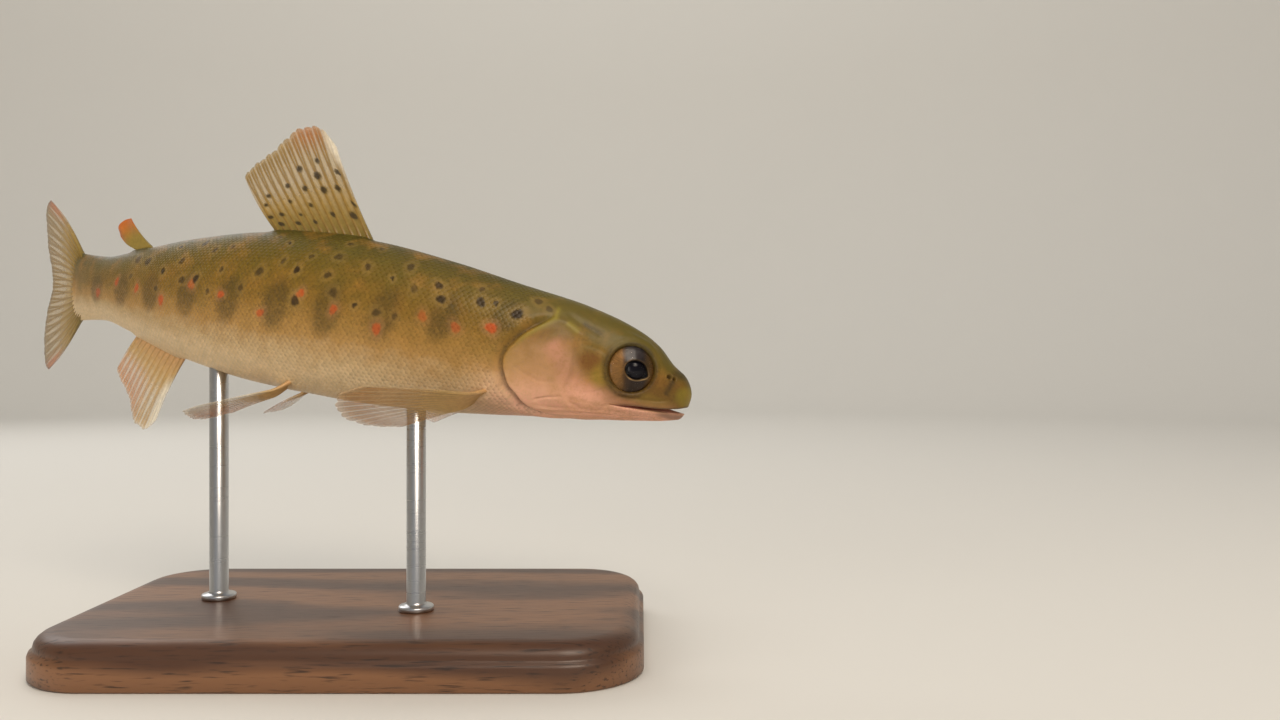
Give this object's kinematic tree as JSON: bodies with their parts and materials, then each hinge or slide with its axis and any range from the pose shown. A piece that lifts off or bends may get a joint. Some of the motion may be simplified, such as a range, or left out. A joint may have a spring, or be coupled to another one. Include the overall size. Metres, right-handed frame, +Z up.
{
  "type": "brown trout parr",
  "caption": "Young brown trout, life size and gently bent, held over a flat display base by thin rods.",
  "frame": {"origin": "middle of the underside of the display base", "axes": "+X the way the fish looks, +Y towards its left side, +Z up"},
  "size_m": [0.0826, 0.0405, 0.0555],
  "materials": {
    "skin": "wet satin, olive with spots",
    "pale_skin": "wet satin, cream",
    "cheek_skin": "wet satin, olive and silver",
    "fin": "translucent amber membrane",
    "eye": "polished, dark pupil in a silver ring",
    "wood": "oiled walnut, satin",
    "steel": "drawn rod, brushed"
  },
  "bodies": {
    "root": {"head": "skin", "lower_jaw": "pale_skin", "gill_cover_left": "cheek_skin", "gill_cover_right": "cheek_skin", "eye_left": "eye", "eye_right": "eye", "trunk_front": "skin", "trunk_rear": "skin", "tail_stalk": "skin", "dorsal_fin": "fin", "anal_fin": "fin", "adipose_fin": "skin", "tail_fin": "fin", "pectoral_fin_left": "fin", "pectoral_fin_right": "fin", "pelvic_fin_left": "fin", "pelvic_fin_right": "fin", "stand_base": "wood", "stand_rod_front": "steel", "stand_rod_rear": "steel"}
  },
  "joints": []
}
